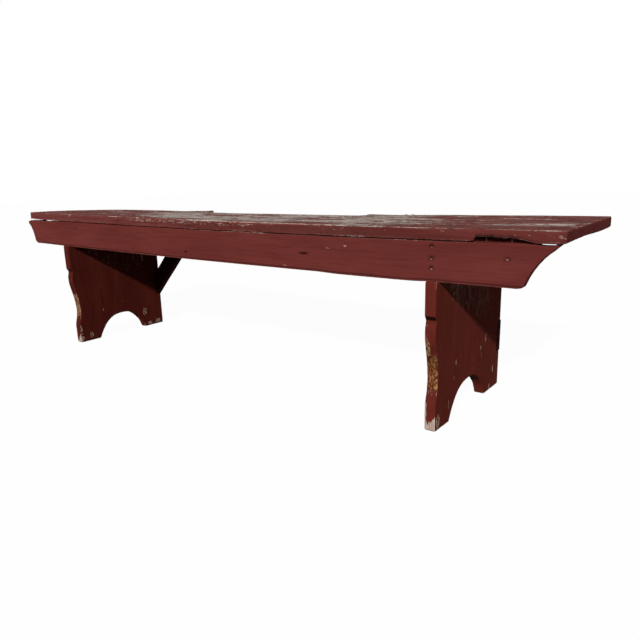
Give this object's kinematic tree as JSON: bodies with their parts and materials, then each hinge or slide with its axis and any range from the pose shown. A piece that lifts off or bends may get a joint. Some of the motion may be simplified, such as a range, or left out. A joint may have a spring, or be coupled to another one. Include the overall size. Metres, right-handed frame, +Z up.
{
  "type": "bucket bench",
  "caption": "Long low plank bench with a nailed front apron, sawn board legs with arched feet and shaped front edges, and slanting braces, in worn oxide-red paint.",
  "frame": {"origin": "on the floor, under the middle of the whole object's box", "axes": "+X along the seat, -Y towards the apron (the front), +Z up"},
  "size_m": [1.8356, 0.3944, 0.448],
  "materials": {
    "seat_wood": "weathered bare wood with streaks of worn red paint",
    "apron_paint": "thin worn oxide-red paint over wood",
    "leg_paint": "worn oxide-red paint, rubbed to bare wood along the front edge and at the foot",
    "brace_paint": "thin worn oxide-red paint over rough-sawn wood",
    "cut_nails": "rusted iron, some heads painted over"
  },
  "bodies": {
    "root": {"seat_board": "seat_wood", "front_apron": "apron_paint", "left_leg": "leg_paint", "right_leg": "leg_paint", "left_brace": "brace_paint", "right_brace": "brace_paint", "apron_nails_left": "cut_nails", "apron_nails_right": "cut_nails", "apron_stray_nail": "cut_nails", "brace_foot_nails_left": "cut_nails", "brace_foot_nails_right": "cut_nails", "brace_head_nails_left": "cut_nails", "brace_head_nails_right": "cut_nails", "seat_nails_front": "cut_nails", "seat_nails_left": "cut_nails", "seat_nails_right": "cut_nails"}
  },
  "joints": []
}
